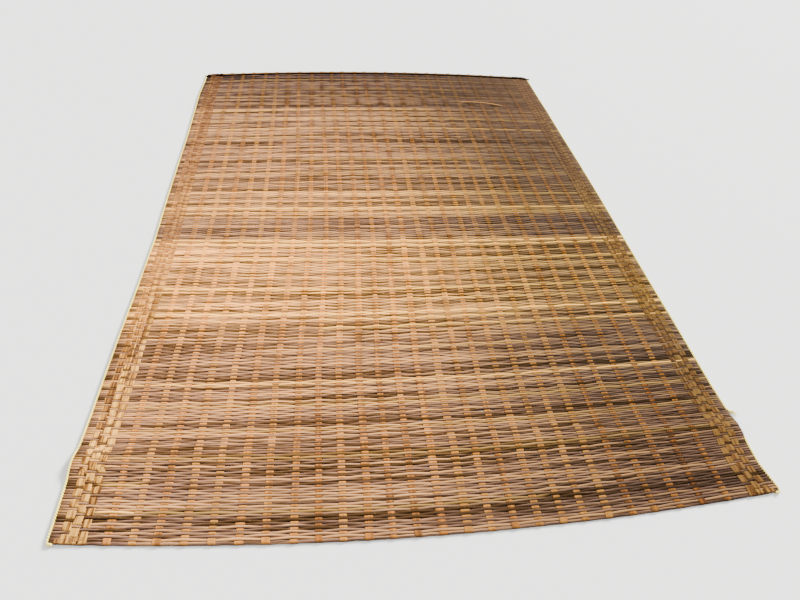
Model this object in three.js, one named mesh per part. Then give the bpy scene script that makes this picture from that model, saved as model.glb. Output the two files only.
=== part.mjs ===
// Bamboo mat lying on a floor: reeds laid across, held by tan strips woven lengthwise.
// Millimetres, +Z up. +Y runs to the far end with the dark stick, +X to the right.
import * as THREE from "three";

// Layers, from the floor up: strip, reeds, strip, with a small gap between them.
const STRIP_THICK = 1.2;
const GAP = 0.3;
const REED_THICK = 6;
const REED_LOW = STRIP_THICK + GAP;
const MAT_THICK = REED_LOW + REED_THICK + GAP + STRIP_THICK;
const MAT_MIDDLE = MAT_THICK / 2;

// The bowed ends: y = middle + bow * ((x - apex) / half)^2.
const NEAR_END = { apex: -50, middle: -1391, bow: 50, half: 925 };
const FAR_END = { apex: 20, middle: 1399, bow: -60, half: 925 };

// The sides, at the outer faces of the side cords.
const SIDES = [
  { y: -1340, left: -935, right: 927 },
  { y: -1250, left: -934, right: 912 },
  { y: -1160, left: -936, right: 915 },
  { y: -980, left: -930, right: 911 },
  { y: -710, left: -926, right: 914 },
  { y: -440, left: -918, right: 915 },
  { y: -170, left: -912, right: 918 },
  { y: 100, left: -916, right: 921 },
  { y: 370, left: -917, right: 921 },
  { y: 640, left: -917, right: 919 },
  { y: 910, left: -922, right: 919 },
  { y: 1090, left: -926, right: 916 },
  { y: 1270, left: -919, right: 915 },
];

// The one soft fold: a low ridge right across the mat near its near end.
const RIDGE = { y: -1130, half: 62, leftHigh: 12, rightHigh: 9 };
const RIDGE_SHARES = [-1, -0.6, -0.25, 0.25, 0.6, 1];

// Strips of the field, left to right: their centres near the three rows named, and their widths.
const FIELD_STRIPS = [
  { near: -795, middle: -771, far: -779, wide: 19 },
  { near: -736, middle: -713, far: -717, wide: 18 },
  { near: -678, middle: -649, far: -661, wide: 19 },
  { near: -617, middle: -587, far: -596, wide: 20 },
  { near: -553, middle: -521, far: -532, wide: 19 },
  { near: -488, middle: -457, far: -468, wide: 21 },
  { near: -426, middle: -393, far: -408, wide: 19 },
  { near: -360, middle: -333, far: -338, wide: 19 },
  { near: -300, middle: -270, far: -282, wide: 18 },
  { near: -241, middle: -210, far: -227, wide: 20 },
  { near: -178, middle: -149, far: -167, wide: 21 },
  { near: -120, middle: -91, far: -97, wide: 18 },
  { near: -61, middle: -28, far: -42, wide: 19 },
  { near: 2, middle: 28, far: 28, wide: 21 },
  { near: 66, middle: 92, far: 82, wide: 22 },
  { near: 125, middle: 150, far: 147, wide: 19 },
  { near: 185, middle: 211, far: 197, wide: 18 },
  { near: 247, middle: 271, far: 261, wide: 20 },
  { near: 310, middle: 328, far: 325, wide: 19 },
  { near: 369, middle: 386, far: 379, wide: 19 },
  { near: 432, middle: 452, far: 449, wide: 21 },
  { near: 497, middle: 516, far: 513, wide: 20 },
  { near: 558, middle: 574, far: 571, wide: 19 },
  { near: 628, middle: 643, far: 641, wide: 20 },
  { near: 695, middle: 709, far: 703, wide: 18 },
  { near: 767, middle: 778, far: 772, wide: 19 },
];
const NEAR_TO_MIDDLE = [-850, -150];
const MIDDLE_TO_FAR = [400, 1250];

// Border strips, counted from the outside: centres from the cord's outer face.
const BORDER_CENTRES = [38, 60, 82];
const BORDER_WIDE = 20;

// The far end, measured in from the outline: wrapped last reed, then the dark stick, then the field.
const END_GAP = 0.4;
const STICK_THICK = 10;
const LAST_REED_IN = STRIP_THICK + END_GAP + REED_THICK / 2;
const HOOK_IN = LAST_REED_IN + REED_THICK / 2 + END_GAP + STRIP_THICK;
const STICK_IN = HOOK_IN + END_GAP + STICK_THICK / 2;
const TURN_IN = STICK_IN + STICK_THICK / 2 + END_GAP + STRIP_THICK;
const FIELD_FAR_IN = TURN_IN + END_GAP;
const FIELD_NEAR_IN = STRIP_THICK + END_GAP;
const HOOK_LOW = 3.5;

// Where a strip's two ends stand while its way is drawn, well clear of every station between them.
const END_MARK = 5000;
const STICK_HIGH = REED_LOW + STICK_THICK;
const STICK_ENDS = { left: -922, right: 924 };
const LAST_REED_ENDS = { left: -910, right: 906 };

// The strip that crosses over the stick: half lengths of its arch at foot and crown, and its room above it.
const ARCH = { foot: 7, crown: 3.2, spare: 0.5 };

// Side cords: an upright flattened section, and how they turn at the near corners.
const CORD_WIDE = 6.2;
const CORD_FLAT = 3;
const CORD_SHOULDER = 4.4;
const CORD_FAR_IN = 23;
const SIDE_IN = CORD_WIDE + GAP;
const CORNER_CUT = 1.2;
const CORNER_RADIUS = 6;
const CORNER_STEPS = 3;
const CORNER_TAIL = 16;

// The stretch of the right-hand cord that is missing, and the loose tail at its far side.
const MISSING = { from: -1166, to: -1062 };
const LOOSE_TAIL = [
  { out: 3, back: 7 },
  { out: 9, back: 12 },
  { out: 16, back: 13 },
];

// How finely the flat layer follows its outline.
const FIELD_COLUMNS = 24;
const FIELD_LAYERS = 2;
const END_ROUND = 2;
const ROD_STEPS = 24;
const ROD_SIDES = 8;
const STRIP_ROWS = [-1250, -850, -500, -150, 400, 850, 1250];

const RIDGE_ROWS = RIDGE_SHARES.map((share) => RIDGE.y + share * RIDGE.half);
const LEVEL_ROWS = SIDES.slice(1).map((row) => row.y).filter((y) => Math.abs(y - RIDGE.y) > RIDGE.half);
const FIELD_ROWS = LEVEL_ROWS.concat(RIDGE_ROWS).sort((a, b) => a - b);
const STRIP_STATIONS = STRIP_ROWS.concat(RIDGE_ROWS).sort((a, b) => a - b);

// A side's x at a given y, straight between the rows of the table.
function sideAt(key, y) {
  const last = SIDES.length - 1;
  const held = THREE.MathUtils.clamp(y, SIDES[0].y, SIDES[last].y);
  const next = Math.max(1, SIDES.findIndex((row) => row.y >= held));
  const [a, b] = [SIDES[next - 1], SIDES[next]];
  return THREE.MathUtils.mapLinear(held, a.y, b.y, a[key], b[key]);
}

function endAt(end, x) {
  return end.middle + end.bow * ((x - end.apex) / end.half) ** 2;
}

// How far the mat is lifted off the floor by the ridge.
function lift(x, y) {
  const share = Math.min(1, Math.abs(y - RIDGE.y) / RIDGE.half);
  const across = THREE.MathUtils.inverseLerp(SIDES[0].left, SIDES[0].right, x);
  const high = THREE.MathUtils.lerp(RIDGE.leftHigh, RIDGE.rightHigh, across);
  return high * Math.cos((share * Math.PI) / 2) ** 2;
}

// A tube along points. Its section lists [sideways, up] corners, clockwise from the top as seen from behind.
function tubeAlong(section, points) {
  const steps = points.length - 1;
  const geometry = new THREE.CylinderGeometry(1, 1, 1, section.length, steps);
  const place = geometry.getAttribute("position");
  const up = new THREE.Vector3(0, 0, 1);
  for (let i = 0; i < place.count; i += 1) {
    const step = Math.round((place.getY(i) + 0.5) * steps);
    const before = points[Math.max(0, step - 1)];
    const after = points[Math.min(steps, step + 1)];
    const sideways = after.clone().sub(before).cross(up).normalize();
    const turn = Math.atan2(place.getX(i), place.getZ(i)) / (2 * Math.PI);
    const corner = (Math.round(turn * section.length) + section.length) % section.length;
    const onAxis = Math.hypot(place.getX(i), place.getZ(i)) < 0.5;
    const [across, high] = onAxis ? [0, 0] : section[corner];
    const at = points[step].clone().addScaledVector(sideways, across).addScaledVector(up, high);
    place.setXYZ(i, at.x, at.y, at.z);
  }
  return geometry;
}

// The reeds as one flat layer with rounded end rows, bowed ends and wavy sides.
function reedField() {
  const rows = FIELD_ROWS.length + 1;
  const geometry = new THREE.BoxGeometry(1, 1, 1, FIELD_COLUMNS, rows, FIELD_LAYERS);
  const place = geometry.getAttribute("position");
  for (let i = 0; i < place.count; i += 1) {
    const across = place.getX(i) + 0.5;
    const row = Math.round((place.getY(i) + 0.5) * rows);
    const layer = Math.round((place.getZ(i) + 0.5) * FIELD_LAYERS);
    const round = layer === 1 ? 0 : END_ROUND;
    const atCorner = row === 0 && (across < 0.001 || across > 0.999);
    const inset = SIDE_IN + (atCorner ? CORNER_CUT : 0);
    const sideY = row === 0 ? SIDES[0].y : FIELD_ROWS[Math.min(row, rows - 1) - 1];
    const x = THREE.MathUtils.lerp(sideAt("left", sideY) + inset, sideAt("right", sideY) - inset, across);
    let y = sideY;
    if (row === 0) y = endAt(NEAR_END, x) + FIELD_NEAR_IN + round + (atCorner ? CORNER_CUT : 0);
    if (row === rows) y = endAt(FAR_END, x) - FIELD_FAR_IN - round;
    place.setXYZ(i, x, y, REED_LOW + (layer * REED_THICK) / FIELD_LAYERS + lift(x, y));
  }
  return geometry;
}

// The way a strip goes, seen from the side as [along, z] at the middle of its thickness. It starts at its far
// tip, runs back under the reeds, turns up round the near end and returns on top.
function stripWay(overStick) {
  const half = STRIP_THICK / 2;
  const [low, high] = [half, MAT_THICK - half];
  const [near, far] = [half - END_MARK, END_MARK - half];
  const tuck = END_MARK - HOOK_IN + half;
  const turn = END_MARK - TURN_IN + half;
  const stick = END_MARK - STICK_IN;
  const crown = STICK_HIGH + ARCH.spare + half;
  const behind = [[far, high], [far, low]];
  const hook = [[tuck, HOOK_LOW], [tuck, high], ...behind];
  const shortTurn = [[far, high - half - GAP - half], [far, low]];
  const down = [[turn, high], [turn, STRIP_THICK + GAP]];
  const arch = [
    [stick - ARCH.foot, high],
    [stick - ARCH.crown, crown],
    [stick + ARCH.crown, crown],
    [stick + ARCH.foot, high],
    [END_MARK, high],
  ];
  const back = STRIP_STATIONS.map((y) => [y, low]).reverse();
  const forth = STRIP_STATIONS.map((y) => [y, high]);
  const start = overStick ? shortTurn : hook;
  const finish = overStick ? arch : down;
  return [...start, ...back, [near, low], [near, high], ...forth, ...finish];
}

// The direction that a strip's thickness takes at one point of its way, long enough to keep sharp turns full.
function mitreAt(way, i) {
  const at = (j) => new THREE.Vector2(...way[THREE.MathUtils.clamp(j, 0, way.length - 1)]);
  const into = (i > 0 ? at(i).sub(at(i - 1)) : at(1).sub(at(0))).normalize();
  const out = (i < way.length - 1 ? at(i + 1).sub(at(i)) : at(i).sub(at(i - 1))).normalize();
  const sum = new THREE.Vector2(-into.y - out.y, into.x + out.x);
  return sum.divideScalar(1 + into.dot(out));
}

// Lays a strip along its own line on the mat. Points drawn near END_MARK move to the mat's bowed outline.
function wovenStrip(way, wide, centreAt) {
  const steps = way.length - 1;
  const geometry = new THREE.BoxGeometry(1, 1, 1, 1, steps, 1);
  const place = geometry.getAttribute("position");
  for (let i = 0; i < place.count; i += 1) {
    const step = Math.round((place.getY(i) + 0.5) * steps);
    const mitre = mitreAt(way, step);
    const along = way[step][0] + mitre.x * place.getZ(i) * STRIP_THICK;
    const z = way[step][1] + mitre.y * place.getZ(i) * STRIP_THICK;
    const atEnd = Math.abs(along) > END_MARK / 2;
    const end = along < 0 ? NEAR_END : FAR_END;
    const x = centreAt(atEnd ? end.middle : along) + place.getX(i) * wide;
    const y = atEnd ? endAt(end, x) + along - Math.sign(along) * END_MARK : along;
    place.setXYZ(i, x, y, z + lift(x, y));
  }
  return geometry;
}

function fieldCentre(strip) {
  return (y) => {
    const toMiddle = THREE.MathUtils.smoothstep(y, ...NEAR_TO_MIDDLE);
    const toFar = THREE.MathUtils.smoothstep(y, ...MIDDLE_TO_FAR);
    return strip.near + toMiddle * (strip.middle - strip.near) + toFar * (strip.far - strip.middle);
  };
}

function borderCentre(side, inward) {
  const sign = side === "left" ? 1 : -1;
  return (y) => sideAt(side, y) + sign * inward;
}

// A round rod laid across the mat, following the far end's bow.
function rodAcross(ends, inward, thick, middleZ) {
  const reach = thick / 2 / Math.cos(Math.PI / ROD_SIDES);
  const section = [];
  for (let i = 0; i < ROD_SIDES; i += 1) {
    const angle = ((i + 0.5) * 2 * Math.PI) / ROD_SIDES;
    section.push([reach * Math.sin(angle), reach * Math.cos(angle)]);
  }
  const points = [];
  for (let i = 0; i <= ROD_STEPS; i += 1) {
    const x = THREE.MathUtils.lerp(ends.left, ends.right, i / ROD_STEPS);
    points.push(new THREE.Vector3(x, endAt(FAR_END, x) - inward, middleZ));
  }
  return tubeAlong(section, points);
}

// A cord's flattened eight-sided section.
function cordSection() {
  const [wide, high] = [CORD_WIDE / 2, MAT_THICK / 2];
  const [flat, shoulder] = [CORD_FLAT / 2, CORD_SHOULDER / 2];
  return [
    [flat, high], [wide, shoulder], [wide, -shoulder], [flat, -high],
    [-flat, -high], [-wide, -shoulder], [-wide, shoulder], [-flat, high],
  ];
}

function cordPoint(side, y) {
  const sign = side === "left" ? 1 : -1;
  const x = sideAt(side, y) + (sign * CORD_WIDE) / 2;
  return new THREE.Vector3(x, y, MAT_MIDDLE + lift(x, y));
}

// The cord's points down one side between two values of y, from far to near.
function cordRun(side, from, to) {
  const between = FIELD_ROWS.filter((y) => y < from - 1 && y > to + 1).reverse();
  return [from, ...between, to].map((y) => cordPoint(side, y));
}

// The turn round a near corner and the short tail tucked along the near end.
function cornerTurn(side) {
  const sign = side === "left" ? 1 : -1;
  const offset = CORD_WIDE / 2 + GAP;
  const fieldX = sideAt(side, SIDES[0].y) + sign * SIDE_IN;
  const fieldY = endAt(NEAR_END, fieldX) + FIELD_NEAR_IN;
  const centreX = fieldX + sign * (CORNER_RADIUS - offset);
  const centreY = fieldY + CORNER_RADIUS - offset;
  const points = [];
  for (let i = 0; i <= CORNER_STEPS; i += 1) {
    const angle = (i / CORNER_STEPS) * (Math.PI / 2);
    const x = centreX - sign * CORNER_RADIUS * Math.cos(angle);
    const y = centreY - CORNER_RADIUS * Math.sin(angle);
    points.push(new THREE.Vector3(x, y, MAT_MIDDLE));
  }
  const tailX = fieldX + sign * CORNER_TAIL;
  points.push(new THREE.Vector3(tailX, endAt(NEAR_END, tailX) + FIELD_NEAR_IN - offset, MAT_MIDDLE));
  return points;
}

function looseTail() {
  const from = cordPoint("right", MISSING.to);
  return LOOSE_TAIL.map(({ out, back }) => new THREE.Vector3(from.x + out, from.y - back, MAT_MIDDLE));
}

const finish = (color, roughness) => new THREE.MeshStandardMaterial({ color, roughness, metalness: 0 });
const reedFinish = () => finish(0xa78468, 0.62);
const paleReedFinish = () => finish(0xcdb489, 0.55);
const fieldStripFinish = () => finish(0xc98743, 0.6);
const borderStripFinish = () => finish(0xc1944f, 0.65);
const cordFinish = () => finish(0xe3d59c, 0.85);
const stickFinish = () => finish(0x1a130f, 0.5);

const mat = new THREE.Group();

function add(name, geometry, material) {
  const mesh = new THREE.Mesh(geometry, material);
  mesh.name = name;
  mat.add(mesh);
}

add("reed_field", reedField(), reedFinish());
add("last_reed", rodAcross(LAST_REED_ENDS, LAST_REED_IN, REED_THICK, MAT_MIDDLE), paleReedFinish());
add("end_stick", rodAcross(STICK_ENDS, STICK_IN, STICK_THICK, REED_LOW + STICK_THICK / 2), stickFinish());

const underStick = stripWay(false);
const overStick = stripWay(true);

FIELD_STRIPS.forEach((strip, i) => {
  const name = `field_strip_${String(i + 1).padStart(2, "0")}`;
  add(name, wovenStrip(underStick, strip.wide, fieldCentre(strip)), fieldStripFinish());
});

for (const side of ["left", "right"]) {
  BORDER_CENTRES.forEach((inward, i) => {
    const way = side === "left" && i === 0 ? overStick : underStick;
    const geometry = wovenStrip(way, BORDER_WIDE, borderCentre(side, inward));
    add(`${side}_border_${i + 1}`, geometry, borderStripFinish());
  });
}

const farCordY = (side) => endAt(FAR_END, sideAt(side, FAR_END.middle)) - CORD_FAR_IN;
const nearCordY = SIDES[0].y + CORNER_RADIUS;
const leftRun = cordRun("left", farCordY("left"), nearCordY);
const rightNearRun = cordRun("right", MISSING.from, nearCordY);
const rightFarRun = cordRun("right", farCordY("right"), MISSING.to);
add("left_cord", tubeAlong(cordSection(), [...leftRun, ...cornerTurn("left")]), cordFinish());
add("right_cord_near", tubeAlong(cordSection(), [...rightNearRun, ...cornerTurn("right")]), cordFinish());
add("right_cord_far", tubeAlong(cordSection(), [...rightFarRun, ...looseTail()]), cordFinish());

// The origin goes to the middle of the mat's footprint, on the floor.
const footprint = new THREE.Box3().setFromObject(mat);
const centre = footprint.getCenter(new THREE.Vector3());
mat.position.set(-centre.x, -centre.y, -footprint.min.z);

export default mat;
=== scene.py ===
"""Bamboo mat lying flat on a pale floor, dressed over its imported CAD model.

Metres, +Z up. +Y runs along the mat to the far end with the dark stick, +X to the right.
"""

import functools
import logging
import math
from collections.abc import Callable
from dataclasses import dataclass, field, replace
from enum import Enum

import bmesh
import bpy
import numpy as np
from mathutils import Matrix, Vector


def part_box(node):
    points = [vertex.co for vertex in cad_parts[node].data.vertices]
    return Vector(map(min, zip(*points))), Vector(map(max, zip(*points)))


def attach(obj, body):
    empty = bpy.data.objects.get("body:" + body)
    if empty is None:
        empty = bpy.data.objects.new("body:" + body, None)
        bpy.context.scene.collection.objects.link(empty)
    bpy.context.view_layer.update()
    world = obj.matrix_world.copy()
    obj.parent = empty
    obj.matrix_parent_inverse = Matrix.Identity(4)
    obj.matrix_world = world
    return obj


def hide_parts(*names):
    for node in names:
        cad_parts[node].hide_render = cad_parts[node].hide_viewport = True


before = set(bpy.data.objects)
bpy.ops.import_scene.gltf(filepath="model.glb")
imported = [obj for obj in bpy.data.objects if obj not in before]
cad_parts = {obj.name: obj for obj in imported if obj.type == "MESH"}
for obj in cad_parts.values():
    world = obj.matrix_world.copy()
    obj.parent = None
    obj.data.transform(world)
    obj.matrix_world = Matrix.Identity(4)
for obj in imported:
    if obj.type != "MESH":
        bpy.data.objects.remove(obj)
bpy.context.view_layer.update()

MM = 0.001
BODY = "root"
UPWARDS = np.array([0.0, 0.0, 1.0])
CREASE = math.radians(50)
# A blur so short that neighbours along that axis have nothing in common.
APART = 0.01
Colour = tuple[float, float, float]
Triple = tuple[float, float, float]
Pair = tuple[float, float]
Piece = bpy.types.Object
Socket = bpy.types.NodeSocket
Material = bpy.types.Material

log = logging.getLogger("mat")


class Side(Enum):
    """The two long sides of the mat, with the sign of the way outwards."""

    LEFT = -1
    RIGHT = 1


class Lie(Enum):
    """Where a strip runs at one reed."""

    OVER = 1
    UNDER = -1


def rgb(red: int, green: int, blue: int) -> Colour:
    """Turn a screen colour, 0 to 255 in each part, into the linear one that shaders take."""
    parts = [part / 255 for part in (red, green, blue)]
    return tuple(p / 12.92 if p < 0.04045 else ((p + 0.055) / 1.055) ** 2.4 for p in parts)


def node_points(name: str) -> np.ndarray:
    """List a CAD node's separate corners, one row of x, y and z for each."""
    corners = np.array([vertex.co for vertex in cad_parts[name].data.vertices])
    return np.unique(np.round(corners, 5), axis=0)


def ease(share: np.ndarray) -> np.ndarray:
    """Ease shares from 0 to 1 in and out."""
    return share * share * (3 - 2 * share)


def soft_noise(
    rng: np.random.Generator, shape: tuple[int, ...], blur: tuple[float, ...]
) -> np.ndarray:
    """Make smooth random values with a spread of one.

    Args:
        rng: The seeded source of chance.
        shape: The size of the array.
        blur: How many cells the values stay alike over, for each axis, or APART.

    Returns:
        The array of values.
    """
    waves = np.fft.fftn(rng.normal(size=shape))
    for axis, width in enumerate(blur):
        turns = np.fft.fftfreq(shape[axis])
        fall = np.exp(-2 * (math.pi * width * turns) ** 2)
        waves *= fall.reshape([-1 if i == axis else 1 for i in range(len(shape))])
    values = np.fft.ifftn(waves).real
    return (values - values.mean()) / values.std()


def link(name: str, data: bpy.types.ID) -> Piece:
    """Put a new object into the scene.

    Args:
        name: Its name.
        data: Its mesh, lamp or camera.

    Returns:
        The object, which stands at the origin.
    """
    made = bpy.data.objects.new(name, data)
    bpy.context.scene.collection.objects.link(made)
    return made


@dataclass(frozen=True)
class Gap:
    """A place where two reeds have drawn apart."""

    x: float
    y: float
    length: float
    width: float


@dataclass(frozen=True)
class Ridge:
    """The one soft fold: a low ridge right across the mat near its near end."""

    y: float = -1.134
    half: float = 0.062
    left_high: float = 12 * MM
    right_high: float = 9 * MM
    left_x: float = -0.9305
    right_x: float = 0.9315

    def lift(self, x: np.ndarray, y: np.ndarray) -> np.ndarray:
        """Say how far the mat is lifted off the floor.

        Args:
            x: Places across the mat.
            y: Places along the mat.

        Returns:
            The height at each place.
        """
        share = np.minimum(1, np.abs(y - self.y) / self.half)
        across = (x - self.left_x) / (self.right_x - self.left_x)
        high = self.left_high + (self.right_high - self.left_high) * across
        return high * np.cos(share * math.pi / 2) ** 2


OPEN_GAPS = (
    Gap(x=0.18, y=-1.03, length=0.16, width=2.6 * MM),
    Gap(x=-0.62, y=-1.12, length=0.12, width=2.2 * MM),
    Gap(x=-0.55, y=-1.27, length=0.14, width=2.0 * MM),
)


@dataclass
class StripLine:
    """The centre line and the width of one strip, read from its CAD node."""

    node: str
    level_end: float = 1.3
    y: np.ndarray = field(init=False)
    x: np.ndarray = field(init=False)
    wide: float = field(init=False)

    def __post_init__(self) -> None:
        """Read the strip's stations between its two turned ends."""
        corners = node_points(self.node)
        level = corners[np.abs(corners[:, 1]) < self.level_end]
        rows = np.round(level[:, 1], 4)
        self.y = np.unique(rows)
        self.x = np.array([level[rows == y, 0].mean() for y in self.y])
        self.wide = float(np.ptp(level[rows == self.y[0], 0]))


@dataclass
class MatPlan:
    """Where each row of reeds lies, from the CAD model, with the small wander of real reeds."""

    reeds: int = 377
    columns: int = 73
    half_wide: float = 3.42 * MM
    middle_z: float = 4.5 * MM
    near_spread: float = 0.055
    near_fall: int = 6
    askew: float = 0.020
    askew_bow: float = 0.019
    askew_middle: float = 0.41
    askew_reach: float = 0.13
    shared_wander: float = 1.2 * MM
    shared_blur: Pair = (9, 7)
    own_wander: float = 0.22 * MM
    own_blur: Pair = (APART, 1.1)
    straight_ends: int = 8
    dip: float = 1.3 * MM
    pinch: float = 1.25 * MM
    pinch_spread: float = 0.4
    pinch_blur: Pair = (4, 3)
    pinch_range: Pair = (0.2, 1.35)
    ridge_ease: float = 0.6
    gap_reach: float = 3
    row_end: float = 1.29
    side_end: float = 0.88
    side_guess: float = 0.92
    seed: int = 17
    ridge: Ridge = field(default_factory=Ridge)

    def __post_init__(self) -> None:
        """Fit the two bowed ends and the two sides, and draw the wander."""
        corners = node_points("reed_field")
        x, y = corners[:, 0], corners[:, 1]
        inner = np.abs(x) < self.side_end
        self.near_curve = self._end_curve(corners[inner & (y < -self.row_end)], np.min)
        self.far_curve = self._end_curve(corners[inner & (y > self.row_end)], np.max)
        self.sides = {
            Side.LEFT: self._side_line(corners[x < -self.side_end], np.min),
            Side.RIGHT: self._side_line(corners[x > self.side_end], np.max),
        }
        self.grid_x = np.linspace(x.min(), x.max(), self.columns)
        rng = np.random.default_rng(self.seed)
        shape = (self.reeds, self.columns)
        shared = soft_noise(rng, shape, self.shared_blur) * self.shared_wander
        own = soft_noise(rng, shape, self.own_blur) * self.own_wander
        rows = np.arange(self.reeds)
        edge = np.minimum(1, np.minimum(rows, rows[::-1]) / self.straight_ends)
        self.wander = (shared + own) * edge[:, None]
        self.height = np.zeros(shape)

    @staticmethod
    def _end_curve(corners: np.ndarray, pick: Callable[[np.ndarray], float]) -> np.ndarray:
        """Fit a bow to the outermost corners of an end.

        Args:
            corners: The corners of that end.
            pick: What takes the outermost y.

        Returns:
            The bow's three factors.
        """
        xs = np.unique(corners[:, 0])
        ys = [pick(corners[corners[:, 0] == x, 1]) for x in xs]
        return np.polyfit(xs, ys, 2)

    @staticmethod
    def _side_line(
        corners: np.ndarray, pick: Callable[[np.ndarray], float]
    ) -> tuple[np.ndarray, np.ndarray]:
        """List a side's outline.

        Args:
            corners: The corners of that side.
            pick: What takes the outermost x.

        Returns:
            Each y that the side has, and its x there.
        """
        ys = np.unique(corners[:, 1])
        xs = np.array([pick(corners[corners[:, 1] == y, 0]) for y in ys])
        return ys, xs

    def side_x(self, side: Side, y: np.ndarray) -> np.ndarray:
        """Give the x of the reeds' ends in the CAD model at some places along the mat."""
        return np.interp(y, *self.sides[side])

    def level_y(self, reed: np.ndarray, x: np.ndarray) -> np.ndarray:
        """Give the y of rows of reeds without their wander.

        Args:
            reed: Row numbers from the near end, whole or between.
            x: Places across the mat.

        Returns:
            The y of each.
        """
        near = np.polyval(self.near_curve, x) + self.half_wide
        far = np.polyval(self.far_curve, x) - self.half_wide
        share = reed / (self.reeds - 1)
        there = np.exp(-(((share - self.askew_middle) / self.askew_reach) ** 2))
        askew = there * (self.askew_bow * x - self.askew) * x
        share = share + self.near_spread * share * (1 - share) ** self.near_fall
        return near + share * (far - near) + askew

    def pitch(self, reed: np.ndarray, x: np.ndarray) -> np.ndarray:
        """Give the room that each row of reeds has along the mat."""
        return self.level_y(reed + 0.5, x) - self.level_y(reed - 0.5, x)

    def on_grid(self, grid: np.ndarray, reed: np.ndarray, x: np.ndarray) -> np.ndarray:
        """Read a grid of rows and columns between its cells.

        Args:
            grid: Values for each row of reeds and each column of the plan.
            reed: Row numbers, whole or between.
            x: Places across the mat.

        Returns:
            The value at each place.
        """
        row = np.clip(reed, 0, self.reeds - 1.001)
        step = self.grid_x[1] - self.grid_x[0]
        column = np.clip((x - self.grid_x[0]) / step, 0, self.columns - 1.001)
        row, column = np.broadcast_arrays(row, column)
        i, j = row.astype(int), column.astype(int)
        down, along = row - i, column - j
        upper = grid[i, j] * (1 - along) + grid[i, j + 1] * along
        lower = grid[i + 1, j] * (1 - along) + grid[i + 1, j + 1] * along
        return upper * (1 - down) + lower * down

    def row_y(self, reed: np.ndarray, x: np.ndarray) -> np.ndarray:
        """Give the y of rows of reeds as they really lie."""
        return self.level_y(reed, x) + self.on_grid(self.wander, reed, x)

    def press(self, strips: list["WovenStrip"]) -> None:
        """Let the strips press the reeds down or lift them, and pinch them together in pairs.

        Args:
            strips: All the strips.
        """
        rng = np.random.default_rng(self.seed + 1)
        x = np.broadcast_to(self.grid_x, self.height.shape)
        y = self.level_y(np.arange(self.reeds)[:, None], x)
        uneven = self.pinch_spread * soft_noise(rng, self.height.shape, self.pinch_blur)
        strength = (1 + uneven).clip(*self.pinch_range)
        strength *= 1 - self.ridge_ease * self.ridge.lift(x, y) / self.ridge.left_high
        for strip in strips:
            centre = strip.centre_x(y[:, self.columns // 2])[:, None]
            near = np.clip(1 - np.abs(x - centre) / strip.room, 0, 1)
            pressed = strip.lies[:, None] * ease(near)
            self.height -= self.dip * pressed
            self.wander -= self.pinch * strength * pressed

    def open_gap(self, gap: Gap) -> None:
        """Part two rows of reeds over a short stretch.

        Args:
            gap: Where, how long and how wide.
        """
        row = self.reed_at(gap.y, gap.x)
        across = np.clip(1 - np.abs(self.grid_x - gap.x) / (gap.length / 2), 0, 1)
        away = np.arange(self.reeds) - row
        share = np.sign(away) * np.exp(-((np.abs(away) - 0.5) / self.gap_reach))
        self.wander += gap.width / 2 * share[:, None] * ease(across)[None, :]

    def reed_at(self, y: float, x: float = 0.0) -> float:
        """Give the row number that passes a place on the mat."""
        rows = np.arange(self.reeds)
        return float(np.interp(y, self.level_y(rows, np.full(self.reeds, x)), rows))

    def side_at_row(self, side: Side, reed: np.ndarray) -> tuple[np.ndarray, np.ndarray]:
        """Find where rows of reeds meet a side.

        Args:
            side: The side of the mat.
            reed: Row numbers, whole or between.

        Returns:
            The x and the y of each.
        """
        x = np.full(np.shape(reed), self.side_guess * side.value)
        for _ in range(3):
            x = self.side_x(side, self.row_y(reed, x))
        return x, self.row_y(reed, x)


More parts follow.
